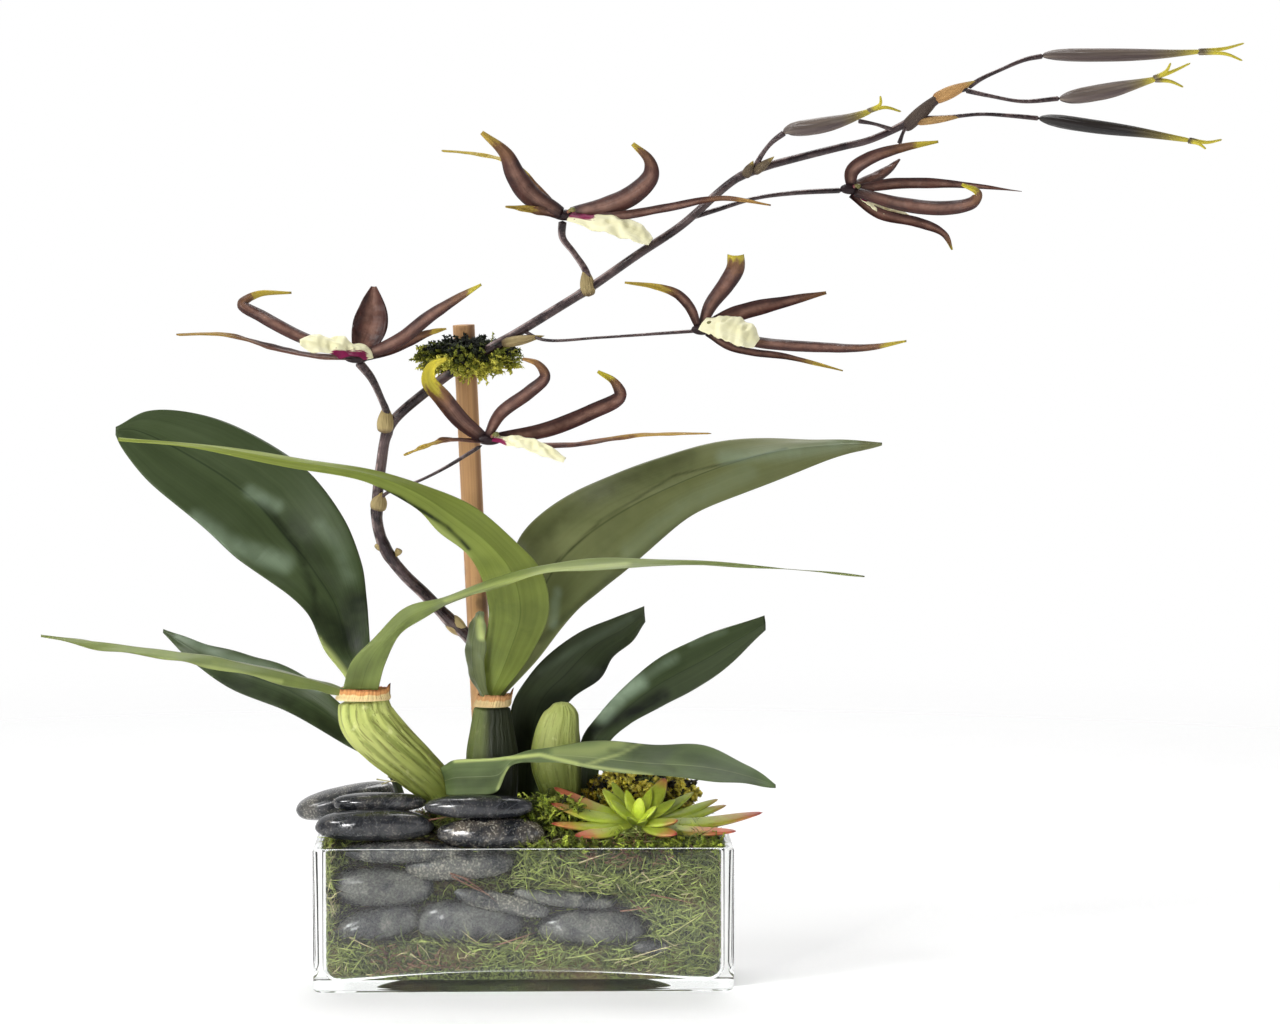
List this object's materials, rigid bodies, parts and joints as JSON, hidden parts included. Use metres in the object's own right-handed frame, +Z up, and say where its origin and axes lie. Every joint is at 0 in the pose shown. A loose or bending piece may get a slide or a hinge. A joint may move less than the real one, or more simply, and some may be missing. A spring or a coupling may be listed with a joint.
{
  "type": "potted orchid arrangement",
  "caption": "Spider orchid with an arching stem of slim dark flowers, staked in a rectangular glass vase of moss and dark pebbles with a small succulent.",
  "frame": {"origin": "centre of the glass vase's underside", "axes": "+X along the vase to the right, towards the buds; +Y to the back; +Z up"},
  "size_m": [0.8584, 0.2178, 0.6847],
  "materials": {
    "glass": "clear, polished",
    "moss": "green and brown strands",
    "moss_dark": "dark green sprigs",
    "bark": "rough",
    "pebble": "polished, mottled",
    "bulb": "ribbed, satin",
    "leaf_dark": "satin",
    "leaf_olive": "satin",
    "leaf_lime": "satin",
    "leaf_grey": "satin",
    "collar": "dry, torn",
    "stem": "glossy",
    "bamboo": "smooth",
    "tepal": "satin, with yellow tips",
    "lip": "satin, magenta at the base",
    "bud": "striped, satin",
    "succulent": "waxy, with red tips"
  },
  "bodies": {
    "root": {"vase": "glass", "root_ball": "bark", "moss_cushion": "moss", "moss_bed": "moss", "pebble_1": "pebble", "pebble_2": "pebble", "pebble_3": "pebble", "pebble_4": "pebble", "pebble_5": "pebble", "pebble_6": "pebble", "pebble_7": "pebble", "pebble_8": "pebble", "pebble_9": "pebble", "pebble_10": "pebble", "pebble_11": "pebble", "pebble_12": "pebble", "pebble_13": "pebble", "pebble_14": "pebble", "pseudobulb_left": "bulb", "pseudobulb_centre": "bulb", "pseudobulb_right": "bulb", "leaf_left_broad": "leaf_dark", "leaf_left_thin": "leaf_lime", "leaf_left_low": "leaf_dark", "leaf_right_broad": "leaf_olive", "leaf_arching": "leaf_lime", "leaf_crossing": "leaf_lime", "leaf_right_short": "leaf_dark", "leaf_right_upper": "leaf_dark", "leaf_right_low": "leaf_grey", "leaf_sheath": "leaf_olive", "collar_left": "collar", "collar_centre": "collar", "flower_stem": "stem", "stake": "bamboo", "tie_moss": "moss_dark", "bloom_1_tepals": "tepal", "bloom_1_lip": "lip", "bloom_2_tepals": "tepal", "bloom_2_lip": "lip", "bloom_3_tepals": "tepal", "bloom_3_lip": "lip", "bloom_4_tepals": "tepal", "bloom_4_lip": "lip", "bloom_5_tepals": "tepal", "bloom_5_lip": "lip", "bud_1": "bud", "bud_2": "bud", "bud_3": "bud", "bud_4": "bud", "succulent": "succulent"}
  },
  "joints": []
}
